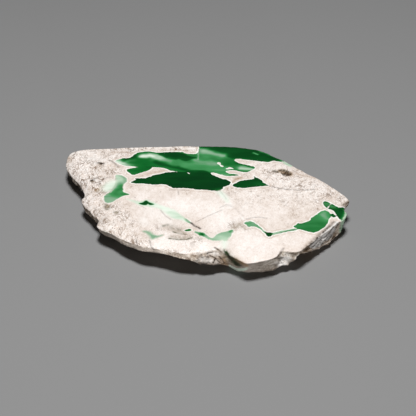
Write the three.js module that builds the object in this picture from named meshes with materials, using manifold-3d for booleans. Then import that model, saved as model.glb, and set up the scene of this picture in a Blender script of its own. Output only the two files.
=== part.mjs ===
// Variscite slice: one sawn slice of a variscite nodule in pale phosphate matrix.
// The upper face is cut flat and polished, the rim is rough broken stone that turns
// under to a smaller sawn base, and a few cavities open on the polished face.
// Millimetres, +Z up. The origin is under the middle of the slice, on its base.
import * as THREE from "three";
import { mergeVertices } from "three/addons/utils/BufferGeometryUtils.js";
import Module from "manifold-3d";

// Driving dimensions
const THICKNESS = 6.5;
const SEGMENTS = 200;
const SHOULDER_INSET = 3.5;
const LIP_STEPS = 3;
const UNDERSIDE_STEPS = 6;

// Broken-stone relief of the rim: lumps, chips on them, and ledges along the bedding
const LUMP_SIZE = 5.5;
const LUMP_HEIGHT = 0.6;
const CHIP_SIZE = 2.2;
const CHIP_HEIGHT = 0.4;
const LEDGE_PITCH = 2.4;
const LEDGE_DEPTH = 0.4;
const LEDGE_DIP = 0.22;
const EDGE_RELIEF = 0.25;
const BASE_RELIEF = 0.4;

// Stations round the slice, anticlockwise from the right-hand tip.
// x, y: the edge of the polished face. roll: how far that edge drops below the face.
// lip: depth of the broken band under the edge. bulge: how far the band stands out.
// undercut: how far the base lies inside the edge.
const STATIONS = [
  { x: 37.9, y: -0.2, roll: 0.1, lip: 2, bulge: -0.6, undercut: 4 },
  { x: 35.9, y: 3.8, roll: 0.1, lip: 2.5, bulge: 0, undercut: 4 },
  { x: 31.6, y: 9.2, roll: 0.1, lip: 2.5, bulge: 0.2, undercut: 4 },
  { x: 25.9, y: 14.7, roll: 0.1, lip: 3, bulge: 0.2, undercut: 4 },
  { x: 21.2, y: 20.1, roll: 0.4, lip: 3, bulge: 0.2, undercut: 4.5 },
  { x: 15.6, y: 24.2, roll: 0.2, lip: 3, bulge: 0.2, undercut: 4.5 },
  { x: 9.9, y: 26, roll: 0.1, lip: 3, bulge: -0.2, undercut: 5 },
  { x: 1.9, y: 26.6, roll: 0.05, lip: 3, bulge: -0.3, undercut: 5 },
  { x: -8.1, y: 26.5, roll: 0.05, lip: 2.5, bulge: -0.3, undercut: 5 },
  { x: -20.1, y: 25.9, roll: 0.1, lip: 2.5, bulge: 0.2, undercut: 5.5 },
  { x: -29.1, y: 25.3, roll: 0.1, lip: 2, bulge: 0.2, undercut: 6 },
  { x: -34.1, y: 24.7, roll: 0.1, lip: 2, bulge: 0, undercut: 6 },
  { x: -36.9, y: 23.4, roll: 0.5, lip: 1.8, bulge: -0.2, undercut: 6.2 },
  { x: -37.8, y: 20.5, roll: 1.2, lip: 1.8, bulge: -0.6, undercut: 6 },
  { x: -37.4, y: 17.2, roll: 1.4, lip: 2, bulge: -0.8, undercut: 6 },
  { x: -35.9, y: 13.8, roll: 1.5, lip: 2, bulge: -0.8, undercut: 6 },
  { x: -33.5, y: 9.8, roll: 1.6, lip: 2, bulge: -0.8, undercut: 6 },
  { x: -32.3, y: 7, roll: 1.6, lip: 2, bulge: -0.8, undercut: 6 },
  { x: -31.5, y: 4.5, roll: 1.7, lip: 2, bulge: -0.7, undercut: 6 },
  { x: -32.2, y: 2.1, roll: 1.5, lip: 2, bulge: -0.5, undercut: 6 },
  { x: -31.1, y: -0.6, roll: 1.6, lip: 2, bulge: -0.4, undercut: 6 },
  { x: -29.4, y: -2.8, roll: 1.6, lip: 2, bulge: -0.5, undercut: 6 },
  { x: -28.2, y: -4.9, roll: 1.6, lip: 2, bulge: -0.7, undercut: 6 },
  { x: -27, y: -6.8, roll: 1.6, lip: 2, bulge: -0.7, undercut: 6 },
  { x: -27.1, y: -9.7, roll: 1.3, lip: 1.7, bulge: -0.8, undercut: 6 },
  { x: -25.7, y: -11.7, roll: 1.2, lip: 1.5, bulge: -0.7, undercut: 6 },
  { x: -23, y: -13.5, roll: 1, lip: 1.3, bulge: -0.2, undercut: 6.2 },
  { x: -20.1, y: -16.2, roll: 0.8, lip: 1.2, bulge: 0.2, undercut: 6.4 },
  { x: -15.7, y: -19, roll: 0.5, lip: 1, bulge: 0.5, undercut: 6.6 },
  { x: -10.8, y: -20.7, roll: 0.3, lip: 0.8, bulge: 0.6, undercut: 6.8 },
  { x: -5.8, y: -22.3, roll: 0.3, lip: 0.8, bulge: 0.6, undercut: 6.8 },
  { x: -2.6, y: -22.4, roll: 0.4, lip: 1.3, bulge: 1.4, undercut: 6.4 },
  { x: 0.4, y: -21.5, roll: 0.4, lip: 2, bulge: 2.6, undercut: 5.6 },
  { x: 2.6, y: -20.5, roll: 0.5, lip: 2.9, bulge: 2.7, undercut: 5 },
  { x: 5.3, y: -22.1, roll: 0.4, lip: 3.1, bulge: 0.8, undercut: 4 },
  { x: 8.9, y: -25.3, roll: 0.3, lip: 3.6, bulge: -1.2, undercut: 4.8 },
  { x: 10.9, y: -26.5, roll: 0.3, lip: 4, bulge: -1.7, undercut: 5.2 },
  { x: 14.1, y: -25.4, roll: 0.3, lip: 4.5, bulge: -1.5, undercut: 5 },
  { x: 16.2, y: -24.7, roll: 0.3, lip: 4.6, bulge: -1.4, undercut: 4.8 },
  { x: 17.9, y: -23.3, roll: 0.4, lip: 4, bulge: -0.4, undercut: 4.6 },
  { x: 19.1, y: -21.1, roll: 0.4, lip: 3.6, bulge: 1, undercut: 4.4 },
  { x: 21.3, y: -21.5, roll: 0.3, lip: 3.7, bulge: 0, undercut: 4.6 },
  { x: 23.9, y: -21.3, roll: 0.3, lip: 0.6, bulge: -0.2, undercut: 6 },
  { x: 26.9, y: -17.7, roll: 0.3, lip: 2.9, bulge: -0.4, undercut: 4.8 },
  { x: 31.1, y: -13, roll: 0.3, lip: 4.7, bulge: -0.1, undercut: 3.4 },
  { x: 33.9, y: -9.8, roll: 0.3, lip: 4.6, bulge: -0.5, undercut: 3 },
  { x: 35.9, y: -7.7, roll: 0.3, lip: 4, bulge: -1, undercut: 3 },
  { x: 36.9, y: -5.5, roll: 0.4, lip: 3.4, bulge: -1.1, undercut: 3.2 },
  { x: 36.4, y: -3.1, roll: 0.4, lip: 2.8, bulge: -1.3, undercut: 3.4 },
];

// Cavities open on the polished face; turn is in degrees from +X
const CAVITIES = [
  { x: 22, y: 13, length: 3.4, width: 2.4, depth: 1.3, turn: -25 },
  { x: 19.3, y: 13.8, length: 1.6, width: 0.8, depth: 0.6, turn: -20 },
  { x: -28.6, y: 17.8, length: 1.8, width: 0.9, depth: 0.7, turn: 0 },
  { x: -29.7, y: 9.5, length: 1.5, width: 1.2, depth: 0.7, turn: -40 },
  { x: -28.8, y: 10.9, length: 1.3, width: 1, depth: 0.6, turn: 10 },
  { x: -28, y: 5.2, length: 2.6, width: 1.6, depth: 0.5, turn: 70 },
  { x: -25, y: -2.2, length: 2.4, width: 1, depth: 0.6, turn: 75 },
  { x: -22.6, y: -5.1, length: 1.2, width: 1, depth: 0.5, turn: 0 },
];

const FACE_MIDDLE = new THREE.Vector3(0, 1.8, THICKNESS);
const BASE_MIDDLE = new THREE.Vector3(0, 1.8, 0);

// A repeatable value from 0 to 1 for each point of a whole-number lattice
function latticeValue(i, j, k) {
  let h = Math.imul(i, 0x27d4eb2d) ^ Math.imul(j, 0x165667b1) ^ Math.imul(k, 0x1b873593);
  h = Math.imul(h ^ (h >>> 15), 0x85ebca6b);
  h = Math.imul(h ^ (h >>> 13), 0xc2b2ae35);
  return ((h ^ (h >>> 16)) >>> 0) / 0xffffffff;
}

// Smooth noise from -1 to 1 whose lumps are about size across
function stoneNoise(point, size) {
  const cell = point.clone().divideScalar(size);
  const low = cell.clone().floor();
  const ease = (t) => t * t * (3 - 2 * t);
  const across = cell.sub(low).toArray().map(ease);
  let sum = 0;
  for (let corner = 0; corner < 8; corner++) {
    const step = [corner & 1, (corner >> 1) & 1, corner >> 2];
    const weight = step.reduce((w, s, a) => w * (s ? across[a] : 1 - across[a]), 1);
    sum += weight * latticeValue(low.x + step[0], low.y + step[1], low.z + step[2]);
  }
  return 2 * sum - 1;
}

// Ledges that follow the bedding: a ramp out and a quick step back, over and over
function ledge(point) {
  const bedding = (point.z + LEDGE_DIP * (point.x - point.y)) / LEDGE_PITCH;
  const phase = bedding - Math.floor(bedding);
  return phase < 0.75 ? phase / 0.75 - 0.5 : (1 - phase) / 0.25 - 0.5;
}

// How far the broken stone stands out from the plain rim at a point
function relief(point) {
  return (
    LUMP_HEIGHT * stoneNoise(point, LUMP_SIZE) +
    CHIP_HEIGHT * stoneNoise(point, CHIP_SIZE) +
    LEDGE_DEPTH * ledge(point)
  );
}

const edgeCurve = new THREE.CatmullRomCurve3(
  STATIONS.map((s) => new THREE.Vector3(s.x, s.y, THICKNESS - s.roll)),
  true,
  "catmullrom",
);
const rimCurve = new THREE.CatmullRomCurve3(
  STATIONS.map((s) => new THREE.Vector3(s.lip, s.bulge, s.undercut)),
  true,
  "catmullrom",
);

// The rings of one upright section, from the middle of the base to the middle of the face
function section(share) {
  const t = edgeCurve.getUtoTmapping(share);
  const edge = edgeCurve.getPoint(t);
  const outward = edge.clone().sub(FACE_MIDDLE).setZ(0).normalize();
  const rim = rimCurve.getPoint(t);
  const [lip, bulge, undercut] = [rim.x, rim.y, rim.z];
  const lipFoot = edge.z - lip;

  // A rim point at an offset outwards and a height, pushed out or in by the relief
  const rimPoint = (offset, height, strength) => {
    const plain = edge.clone().addScaledVector(outward, offset).setZ(height);
    return plain.addScaledVector(outward, strength * relief(plain));
  };

  const rings = [BASE_MIDDLE.clone()];
  for (let step = UNDERSIDE_STEPS; step > 0; step--) {
    const q = step / UNDERSIDE_STEPS;
    const strength = q === 1 ? BASE_RELIEF : 1;
    rings.push(rimPoint(bulge - (bulge + undercut) * q, lipFoot * (1 - q), strength));
  }
  for (let step = LIP_STEPS; step >= 0; step--) {
    const q = step / LIP_STEPS;
    const strength = EDGE_RELIEF + (1 - EDGE_RELIEF) * q;
    rings.push(rimPoint(bulge * Math.sin((q * Math.PI) / 2), edge.z - lip * q, strength));
  }
  const edgeRing = rings.at(-1);
  rings.push(edgeRing.clone().addScaledVector(outward, -SHOULDER_INSET).setZ(THICKNESS));
  rings.push(FACE_MIDDLE.clone());
  return rings;
}

// The whole slice: a lathe grid whose every upright section is bent to the stone's own
function stoneGeometry() {
  const ringCount = section(0).length;
  const profile = Array.from({ length: ringCount }, (_, ring) => new THREE.Vector2(1, ring));
  const geometry = new THREE.LatheGeometry(profile, SEGMENTS);
  const position = geometry.getAttribute("position");
  for (let segment = 0; segment <= SEGMENTS; segment++) {
    const rings = section((segment % SEGMENTS) / SEGMENTS);
    rings.forEach((p, ring) => position.setXYZ(segment * ringCount + ring, p.x, p.y, p.z));
  }
  return geometry;
}

// One cavity: a squashed, faceted ball whose widest level lies on the polished face
function cavityGeometry({ x, y, length, width, depth, turn }) {
  return new THREE.IcosahedronGeometry(0.5, 2)
    .scale(length, width, 2 * depth)
    .rotateZ(THREE.MathUtils.degToRad(turn))
    .translate(x, y, THICKNESS);
}

const wasm = await Module();
wasm.setup();

function solidOf(geometry) {
  const bare = geometry.clone();
  bare.deleteAttribute("normal");
  bare.deleteAttribute("uv");
  const merged = mergeVertices(bare, 1e-4);
  return new wasm.Manifold(
    new wasm.Mesh({
      numProp: 3,
      vertProperties: new Float32Array(merged.getAttribute("position").array),
      triVerts: new Uint32Array(merged.index.array),
    }),
  );
}

function geometryOf(solid) {
  const mesh = solid.getMesh();
  const geometry = new THREE.BufferGeometry();
  geometry.setAttribute("position", new THREE.BufferAttribute(mesh.vertProperties, 3));
  geometry.setIndex(new THREE.BufferAttribute(mesh.triVerts, 1));
  geometry.computeVertexNormals();
  return geometry;
}

const carved = CAVITIES.reduce(
  (stone, cavity) => stone.subtract(solidOf(cavityGeometry(cavity))),
  solidOf(stoneGeometry()),
);

const slice = new THREE.Mesh(
  geometryOf(carved),
  new THREE.MeshStandardMaterial({
    color: 0xe9ddd6,
    roughness: 0.45,
    metalness: 0,
    flatShading: true,
  }),
);
slice.name = "variscite_slice";

const part = new THREE.Group();
part.add(slice);

export default part;
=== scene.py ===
import math
from functools import partial
import bpy
import numpy as np
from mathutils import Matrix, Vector


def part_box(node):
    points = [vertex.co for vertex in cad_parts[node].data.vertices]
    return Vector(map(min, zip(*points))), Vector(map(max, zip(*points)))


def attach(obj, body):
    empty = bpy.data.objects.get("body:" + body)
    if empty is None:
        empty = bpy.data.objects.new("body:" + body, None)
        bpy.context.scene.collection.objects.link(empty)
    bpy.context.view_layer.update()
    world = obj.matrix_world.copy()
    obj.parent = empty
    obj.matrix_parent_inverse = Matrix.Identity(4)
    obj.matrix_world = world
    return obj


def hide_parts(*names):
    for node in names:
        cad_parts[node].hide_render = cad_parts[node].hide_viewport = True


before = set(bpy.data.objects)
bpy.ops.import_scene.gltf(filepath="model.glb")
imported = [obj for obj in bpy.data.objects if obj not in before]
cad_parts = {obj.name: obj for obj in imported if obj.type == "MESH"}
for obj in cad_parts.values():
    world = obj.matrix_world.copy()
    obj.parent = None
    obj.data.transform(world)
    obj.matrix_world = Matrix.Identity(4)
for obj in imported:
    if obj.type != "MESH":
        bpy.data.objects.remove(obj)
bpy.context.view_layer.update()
print("frame loaded")

mm = 0.001
nodeLow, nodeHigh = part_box("variscite_slice")
thickness = (nodeHigh.z - nodeLow.z) / mm  # mm, base to polished face

# The camera: 35 degrees above the floor, square to the front of the slice
view = {
    "pixels": 416,  # picture width and height
    "elevation": 35.0,  # degrees
    "distance": 330.0,  # mm to the point it aims at
    "focal": 1277.0,  # focal length in pixels
    "aim": (1.07, -3.29),  # mm, on the polished face
    "sensor": 36.0,  # mm
}
tilt = math.radians(view["elevation"])
viewRight = np.array([1, 0, 0])
viewUp = np.array([0, math.sin(tilt), math.cos(tilt)])
viewAhead = np.array([0, math.cos(tilt), -math.sin(tilt)])
viewEye = np.array([*view["aim"], thickness]) - view["distance"] * viewAhead


# stone points to mm on the polished face: each is carried to the face's height along its line from
# the picture's viewpoint, a fixed place, so that marks on the rim lie where the picture shows them
def carriedToFace(points):
    rays = points - viewEye
    reach = (thickness - viewEye[2]) / rays[:, 2]
    return (viewEye + rays * reach[:, None])[:, :2]


# picture pixels to mm on the polished face: the ray through each pixel, cut at the face's height
def onFace(pixels):
    pixels = np.reshape(pixels, (-1, 2))
    half = view["pixels"] / 2
    rays = (pixels[:, :1] - half) * viewRight + (half - pixels[:, 1:]) * viewUp
    return carriedToFace(viewEye + rays / view["focal"] + viewAhead)


# eases from 0 at low to 1 at high
def ease(value, low, high):
    t = np.clip((value - low) / (high - low), 0, 1)
    return t * t * (3 - 2 * t)


# one repeatable value from 0 to 1 for each lattice point: whole numbers multiplied and bit-mixed
def latticeValue(i, j, k):
    h = i * np.uint32(0x27d4eb2d) ^ j * np.uint32(0x165667b1) ^ k * np.uint32(0x1b873593)
    h = (h ^ (h >> np.uint32(15))) * np.uint32(0x85ebca6b)
    h = (h ^ (h >> np.uint32(13))) * np.uint32(0xc2b2ae35)
    return (h ^ (h >> np.uint32(16))) / 0xffffffff


# noise from -1 to 1 with lumps of the given size: eight lattice values, blended over a share of
# each cell on both sides of its middle, so that 0.5 is smooth and a small share makes blocks;
# a number added to the points gives another noise of the same kind
def stoneNoise(points, size, blend=0.5):
    cell = points / size
    low = np.floor(cell)
    across = ease(cell - low, 0.5 - blend, 0.5 + blend)
    corner = low.astype(np.int64).astype(np.uint32)
    total = 0
    for step in np.ndindex(2, 2, 2):
        weight = np.where(np.array(step) == 1, across, 1 - across).prod(axis=-1)
        i, j, k = np.moveaxis(corner + np.array(step, np.uint32), -1, 0)
        total = total + weight * latticeValue(i, j, k)
    return 2 * total - 1


# closed curve through rows at positions t counted in rows: cubic spans with Catmull-Rom slopes
def closedCurve(rows, t):
    rows = np.asarray(rows, float)
    start = np.floor(t).astype(int)
    f = (t - start)[..., None]
    before, here, after, beyond = (rows[(start + k) % len(rows)] for k in (-1, 0, 1, 2))
    slopeHere, slopeAfter = (after - before) / 2, (beyond - here) / 2
    bend = -3 * here + 3 * after - 2 * slopeHere - slopeAfter
    twist = 2 * here - 2 * after + slopeHere + slopeAfter
    return here + slopeHere * f + bend * f ** 2 + twist * f ** 3


# The stone's form, all in mm
stone = {
    "faceGrid": 241,  # grid lines across the polished face, odd
    "baseGrid": 121,  # half as fine, for the sawn base
    "lipLevels": 16,  # rings down the broken lip
    "underLevels": 8,  # rings down the undercut below it
    "middle": (0.0, 1.8),  # where every section starts
    "shoulder": 3.5,  # width of the band where the face drops to its edge
    "edgeRelief": 0.25,  # share of the rim's relief at the polished edge
    "baseRelief": (0.4, 0.2),  # and at the base, of the main and the finer relief
    "lump": (5.5, 0.6),  # size and height of the rim's lumps
    "chip": (2.2, 0.4),
    "ledge": (2.4, 0.4, 0.22),  # pitch, depth and dip of the ledges
    "ridge": (3.1, 0.3, 0.35),  # sharp edges between broken faces: size, height and level
    "grit": ((1.1, 0.2), (0.55, 0.12)),
    "blocks": (1.5, 0.2, 0.12),  # blocky breakage: size, height and rounding
    "blockSkew": 0.45,
    "blockBend": (1.9, (0.7, -0.6, 0.5)),  # size of the noise that bends the blocks, and how far
    "joint": 0.13,  # half width of the joints between blocks, as a share of a block
    "chipped": [(1.3, -23, 3.4), (19.9, -23.1, 1.8)],  # x, y and reach of the chipped slopes
    "chippedDepth": 0.3,  # how much deeper the blocks are there
    # x, y and reach of the smooth lips, and how much less of the main relief they have
    "calm": [(12.4, -27.2, 5.5, 0), (-15.1, -20.2, 9, 0.7), (-24, -13.8, 6, 0.6)],
    "calmFine": 0.75,  # how much less of the finer relief they have
    "strata": (0.95, 0.6, 0.12),  # thin layers of the right-hand rim: pitch, depth and dip
    "strataWave": (4.0, 0.5),  # size and height of their waves
    "strataStart": ((22, 27), (-4, 2)),  # they come in over this range of x and of -y
    "edgeChips": 0.45,  # deepest chip out of the polished edge
    "edgeChipNoise": (2.8, 1.1, 0.9),  # sizes of its two noises, and the level of the deepest
    "edgeChipStart": ((-6, 6), (-8, 4)),  # chips come in over this range of -y and of -x
    "edgeChipRight": 0.3,  # their share at the right
    "chipSlope": (0.3, 1.3),  # least width of a chip, and width for its depth
    "pits": (1.1, 0.5, 0.2),  # on unpolished ground: sizes of two noises, and depth
    "pitLevels": (0.45, 0.95),  # noise at a pit's border and in its middle
    "uneven": ((2, 0.9, 0.06), (4, 2.2, 0.08)),  # shift, size and height of the ground's waves
    "worn": 0.04,  # how far unpolished ground lies below the polished face
    "polishedBand": 0.5,  # width of the smoother band along the edge
    "baseInset": 0.985,  # the base grid's share of the base ring
    # x, y of the polished edge, its drop, depth of the lip, its bulge, undercut of the base
    "stations": [
        (37.9, -0.2, 0.1, 2, -0.6, 4), (35.9, 3.8, 0.1, 2.5, 0, 4), (31.6, 9.2, 0.1, 2.5, 0.2, 4),
        (25.9, 14.7, 0.1, 3, 0.2, 4), (21.2, 20.1, 0.4, 3, 0.2, 4.5), (15.6, 24.2, 0.2, 3, 0.2, 4.5),
        (9.9, 26, 0.1, 3, -0.2, 5), (1.9, 26.6, 0.05, 3, -0.3, 5), (-8.1, 26.5, 0.05, 2.5, -0.3, 5),
        (-20.1, 25.9, 0.1, 2.5, 0.2, 5.5), (-29.1, 25.3, 0.1, 2, 0.2, 6), (-34.1, 24.7, 0.1, 2, 0, 6),
        (-36.9, 23.4, 0.5, 1.8, -0.2, 6.2), (-37.8, 20.5, 1.2, 1.8, -0.6, 6),
        (-37.4, 17.2, 1.4, 2, -0.8, 6), (-35.9, 13.8, 1.5, 2, -0.8, 6), (-33.5, 9.8, 1.6, 2, -0.8, 6),
        (-32.3, 7, 1.6, 2, -0.8, 6), (-31.5, 4.5, 1.7, 2, -0.7, 6), (-32.2, 2.1, 1.5, 2, -0.5, 6),
        (-31.1, -0.6, 1.6, 2, -0.4, 6), (-29.4, -2.8, 1.6, 2, -0.5, 6), (-28.2, -4.9, 1.6, 2, -0.7, 6),
        (-27, -6.8, 1.6, 2, -0.7, 6), (-27.1, -9.7, 1.3, 1.7, -0.8, 6), (-25.7, -11.7, 1.2, 1.5, -0.7, 6),
        (-23, -13.5, 1, 1.3, -0.2, 6.2), (-20.1, -16.2, 0.8, 1.2, 0.2, 6.4),
        (-15.7, -19, 0.5, 1, 0.5, 6.6), (-10.8, -20.7, 0.3, 0.8, 0.6, 6.8),
        (-5.8, -22.3, 0.3, 0.8, 0.6, 6.8), (-2.6, -22.4, 0.4, 1.3, 1.4, 6.4),
        (0.4, -21.5, 0.4, 2, 2.6, 5.6), (2.6, -20.5, 0.5, 2.9, 2.7, 5), (5.3, -22.1, 0.4, 3.1, 0.8, 4),
        (8.9, -25.3, 0.3, 3.6, -1.2, 4.8), (10.9, -26.5, 0.3, 4, -1.7, 5.2),
        (14.1, -25.4, 0.3, 4.5, -1.5, 5), (16.2, -24.7, 0.3, 4.6, -1.4, 4.8),
        (17.9, -23.3, 0.4, 4, -0.4, 4.6), (19.1, -21.1, 0.4, 3.6, 1, 4.4),
        (21.3, -21.5, 0.3, 3.7, 0, 4.6), (23.9, -21.3, 0.3, 0.6, -0.2, 6),
        (26.9, -17.7, 0.3, 2.9, -0.4, 4.8), (31.1, -13, 0.3, 4.7, -0.1, 3.4),
        (33.9, -9.8, 0.3, 4.6, -0.5, 3), (35.9, -7.7, 0.3, 4, -1, 3), (36.9, -5.5, 0.4, 3.4, -1.1, 3.2),
        (36.4, -3.1, 0.4, 2.8, -1.3, 3.4),
    ],
    # cavities open on the face: x, y, length, width, depth, turn in degrees
    "cavities": [
        (22, 13, 3.4, 2.4, 1.3, -25), (19.3, 13.8, 1.6, 0.8, 0.6, -20),
        (-28.6, 17.8, 1.8, 0.9, 0.7, 0), (-29.7, 9.5, 1.5, 1.2, 0.7, -40),
        (-28.8, 10.9, 1.3, 1, 0.6, 10), (-28, 5.2, 2.6, 1.6, 0.5, 70),
        (-25, -2.2, 2.4, 1, 0.6, 75), (-22.6, -5.1, 1.2, 1, 0.5, 0),
    ],
    "cavityRagged": (0.9, 0.35),  # size and share of the noise on their borders
    "hollowDepths": (0.2, 1.1),  # where dirt starts in a cavity, and where it is darkest
    "chipDepths": (0.02, 0.25),  # where a chip starts to look broken, and where it does most
    "chipDull": 0.6,  # how broken a chip looks at most
    "layers": (0.45, 10 / 3, 0.9),  # pale and dark layers at the right: size, stretch and strength
    "layerStart": (20, 26),  # they come in over this range of x
    "jointDark": 0.5,  # darkness of the joints between blocks
}


# ledges along the bedding: a long ramp out and a quick step back in each pitch, from -0.5 to 0.5
def ledge(points, pitch, dip):
    bedding = (points[..., 2] + dip * (points[..., 0] - points[..., 1])) / pitch
    phase = bedding - np.floor(bedding)
    return np.where(phase < 0.75, phase / 0.75, (1 - phase) / 0.25) - 0.5


# how far broken stone stands out at a point: lumps, chips and ledges of the solid
def mainRelief(points):
    pitch, depth, dip = stone["ledge"]
    relief = depth * ledge(points, pitch, dip)
    for size, height in (stone["lump"], stone["chip"]):
        relief = relief + height * stoneNoise(points, size)
    return relief


# bell over the distance in plan from a place, 1 at the place
def bellAt(points, x, y, reach):
    return np.exp(-((points[..., 0] - x) ** 2 + (points[..., 1] - y) ** 2) / reach ** 2)


# share of the smooth lips at a point, from 0 to 1: the largest of their bells
def calmShare(points):
    return np.max([bellAt(points, *lip[:3]) for lip in stone["calm"]], axis=0)


# points in the blocks' own slanting axes, bent by noise so that no two blocks are alike
def skewed(points):
    size, reach = stone["blockBend"]
    bend = stoneNoise(points + 11, size)[..., None] * np.array(reach)
    return points + bend + stone["blockSkew"] * np.roll(points, 1, axis=-1) * np.array([1, -1, 1])


# dark joints between the blocks of the chipped slopes: 1 on a block's border, 0 away from it
def jointShare(points):
    cell = skewed(points) / stone["blocks"][0]
    joint = np.clip(1 - np.abs(cell - np.floor(cell) - 0.5) / stone["joint"], 0, 1).max(axis=-1)
    return joint * sum(bellAt(points, *slope) for slope in stone["chipped"])


# the finer relief on top: sharp ridges where noise crosses zero, grit and blocks, little of them on
# the smooth lips, and thin layers at the right
def fineRelief(points):
    size, height, level = stone["ridge"]
    relief = height * (level - np.abs(stoneNoise(points + 40, size)))
    for size, height in stone["grit"]:
        relief = relief + height * stoneNoise(points + 90, size)
    size, height, rounding = stone["blocks"]
    for slope in stone["chipped"]:
        height = height + stone["chippedDepth"] * bellAt(points, *slope)
    relief = relief + height * stoneNoise(skewed(points), size, rounding)
    relief = relief * (1 - stone["calmFine"] * calmShare(points))
    pitch, depth, dip = stone["strata"]
    size, height = stone["strataWave"]
    rightward, forward = stone["strataStart"]
    depth = depth * ease(points[..., 0], *rightward) * ease(-points[..., 1], *forward)
    wavy = points + height * stoneNoise(points, size)[..., None]
    return relief - depth * ledge(wavy, pitch, dip)


# depth of the chips along the polished edge: noise above zero, deepest at the left front
def edgeChip(edge):
    level = edge * np.array([1, 1, 0])
    coarse, fine, deepest = stone["edgeChipNoise"]
    rise = ease(stoneNoise(level + 3, coarse) + 0.5 * stoneNoise(level + 5, fine), 0, deepest)
    forward, leftward = stone["edgeChipStart"]
    least = stone["edgeChipRight"]
    share = least + (1 - least) * ease(-edge[..., 0], *leftward)
    return stone["edgeChips"] * rise * ease(-edge[..., 1], *forward) * share


# arc length of the polished edge, measured once so that shares of it become even steps
stationRows = np.array(stone["stations"], float)
stationRows[:, 2] = thickness - stationRows[:, 2]
fineSteps = np.linspace(0, len(stationRows), 60 * len(stationRows) + 1)
edgeLength = np.linalg.norm(np.diff(closedCurve(stationRows, fineSteps)[:, :3], axis=0), axis=1)
edgeLength = np.concatenate([[0], np.cumsum(edgeLength)])


# edge point, outward direction and lip, bulge, undercut at each share of the way round
def sectionAt(share):
    rows = closedCurve(stationRows, np.interp(share * edgeLength[-1], edgeLength, fineSteps))
    edge, rim = rows[..., :3], rows[..., 3:]
    outward = edge[..., :2] - np.array(stone["middle"])
    outward = outward / np.linalg.norm(outward, axis=-1, keepdims=True)
    outward = np.concatenate([outward, np.zeros_like(outward[..., :1])], axis=-1)
    return edge, outward, rim


# square grid as rings: ring number over the half width, and share of the way round from +X
def ringsOf(size):
    half = (size - 1) // 2
    i, j = np.meshgrid(np.arange(-half, half + 1), np.arange(-half, half + 1), indexing="ij")
    ring = np.maximum(np.abs(i), np.abs(j))
    width = np.maximum(ring, 1)
    eighths = np.select(
        [(i == ring) & (j >= 0), j == ring, i == -ring, j == -ring],
        [j / width, 1 + (ring - i) / width, 3 + (ring - j) / width, 5 + (i + ring) / width],
        7 + (j + ring) / width,
    )
    return ring / half, eighths / 8


# rows of vertex numbers to quads: each cell of the table, wound so that rows x columns faces out
def quadsOf(table):
    corners = (table[:-1, :-1], table[1:, :-1], table[1:, 1:], table[:-1, 1:])
    return np.stack([c.ravel() for c in corners], axis=1)


# a rim point: the edge moved out by an offset and set to a height, then pushed by the relief
def rimPoints(edge, outward, offset, height, strength, fineStrength):
    plain = edge + outward * offset[..., None]
    plain[..., 2] = height
    for *lip, less in stone["calm"]:
        strength = strength * (1 - less * bellAt(plain, *lip))
    push = strength * mainRelief(plain) + fineStrength * fineRelief(plain)
    return plain + outward * push[..., None]


# depth of the cavities below the face: half ellipsoids with ragged borders
def cavityDepth(points):
    total = np.zeros(points.shape[:-1])
    size, share = stone["cavityRagged"]
    ragged = 1 + share * stoneNoise(points, size)
    for x, y, length, width, depth, turn in stone["cavities"]:
        turn = math.radians(turn)
        c, s = math.cos(turn), math.sin(turn)
        dx, dy = points[..., 0] - x, points[..., 1] - y
        out = np.hypot((dx * c + dy * s) * 2 / length, (dy * c - dx * s) * 2 / width) * ragged
        total = total + depth * np.sqrt(np.clip(1 - out ** 2, 0, 1))
    return total


# polished face: scaled copies of the edge ring, flat but for the band that drops to the edge, the
# chips, the cavities and, on unpolished ground, pits where noise is high
def facePoints():
    ring, share = ringsOf(stone["faceGrid"])
    edge, outward, rim = sectionAt(share)
    strength = stone["edgeRelief"]
    atEdge = rimPoints(edge, outward, 0 * share, edge[..., 2], strength, strength)
    middle = np.array([*stone["middle"], thickness])
    points = middle + ring[..., None] * (atEdge - middle)
    inward = (1 - ring) * np.linalg.norm((atEdge - middle)[..., :2], axis=-1)
    chip = edgeChip(edge)
    least, slope = stone["chipSlope"]
    chipped = chip * np.clip(1 - inward / (least + slope * chip), 0, 1)
    roll = (thickness - edge[..., 2]) * np.clip(1 - inward / stone["shoulder"], 0, 1) ** 2
    points[..., 2] = thickness
    coarse, fine, depth = stone["pits"]
    pit = stoneNoise(points, coarse) + 0.5 * stoneNoise(points + 7, fine)
    pit = depth * ease(pit, *stone["pitLevels"])
    uneven = sum(height * stoneNoise(points + shift, size) for shift, size, height in stone["uneven"])
    rubbed = roughShare(points) * (pit - uneven + stone["worn"])
    rubbed = rubbed * ease(inward, 0, stone["polishedBand"])
    points[..., 2] = thickness - roll - chipped - cavityDepth(points) - rubbed
    return points, chipped


# broken rim: rings down the lip, bulging as a quarter sine, then straight in under to the base
def rimRings():
    around = 4 * (stone["faceGrid"] - 1)
    share = np.arange(around) / around
    edge, outward, rim = sectionAt(share)
    lip, bulge, under = np.moveaxis(rim, -1, 0)
    chip = edgeChip(edge)
    rings = []
    for q in np.arange(1, stone["lipLevels"] + 1) / stone["lipLevels"]:
        strength = stone["edgeRelief"] + (1 - stone["edgeRelief"]) * q
        offset = bulge * math.sin(q * math.pi / 2)
        height = edge[:, 2] - chip * (1 - q) - lip * q
        rings.append(rimPoints(edge, outward, offset, height, strength, strength))
    for q in np.arange(1, stone["underLevels"] + 1) / stone["underLevels"]:
        main, fine = stone["baseRelief"] if q == 1 else (1, 1)
        offset = bulge - (bulge + under) * q
        height = (edge[:, 2] - lip) * (1 - q)
        rings.append(rimPoints(edge, outward, offset, height, main, fine))
    return np.array(rings)


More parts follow.
